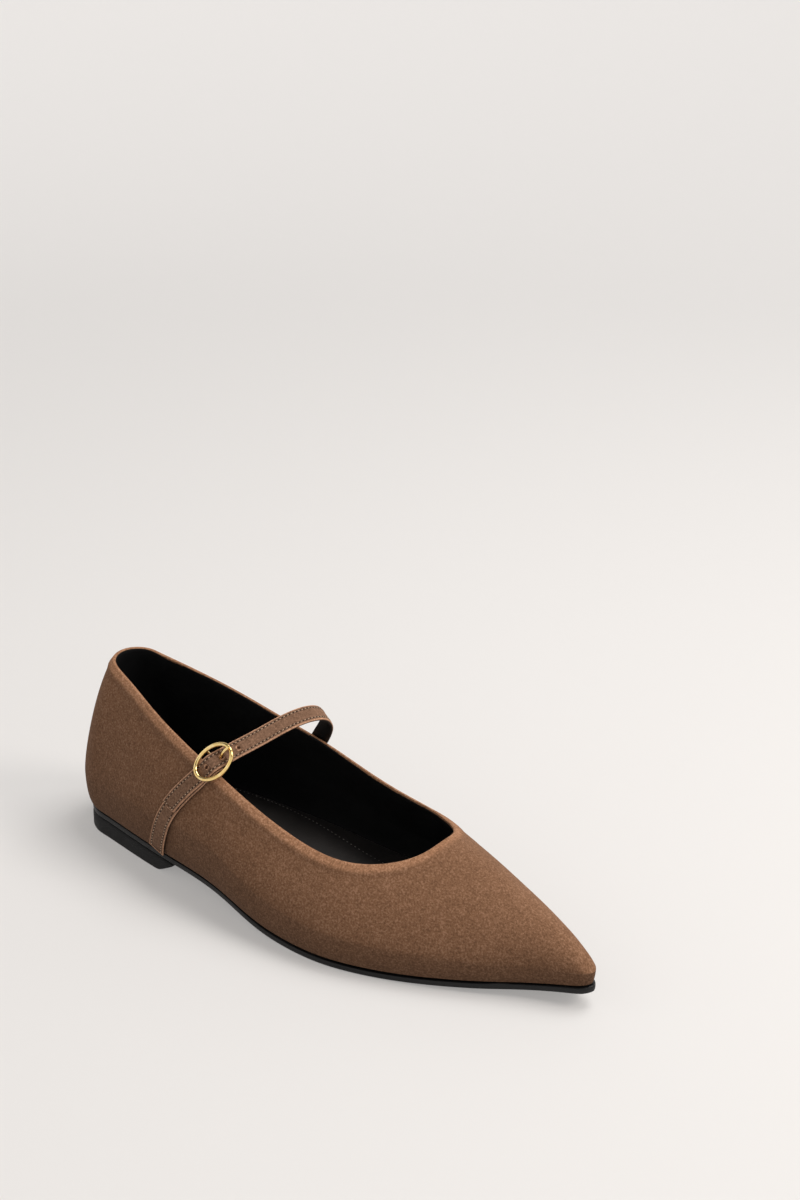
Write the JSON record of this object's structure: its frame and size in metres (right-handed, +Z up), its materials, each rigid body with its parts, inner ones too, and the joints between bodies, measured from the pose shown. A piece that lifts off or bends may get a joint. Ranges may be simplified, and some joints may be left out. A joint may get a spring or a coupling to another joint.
{
  "type": "pointed toe flat shoe",
  "caption": "Pointed toe flat shoe with a low block heel, an open instep and one narrow strap that fastens on the outer side with an oval buckle.",
  "frame": {"origin": "centre of the bounding box in X and Y, on the floor that the sole stands on", "axes": "X along the shoe with the toe at +X, Y across it with the inner side of the right foot at +Y and the buckle side at -Y, Z up"},
  "size_m": [0.2578, 0.0856, 0.0788],
  "materials": {
    "sole": "black, smooth, slightly glossy edge",
    "heel": "black, smooth, satin",
    "suede": "brown suede with a short nap",
    "sock": "dark grey smooth leather",
    "buckle": "polished gold tone"
  },
  "bodies": {
    "root": {"outsole": "sole", "heel_block": "heel", "upper": "suede", "insole": "sock", "strap": "suede", "buckle_tab": "suede", "buckle_ring": "buckle", "buckle_prong": "buckle"}
  },
  "joints": []
}
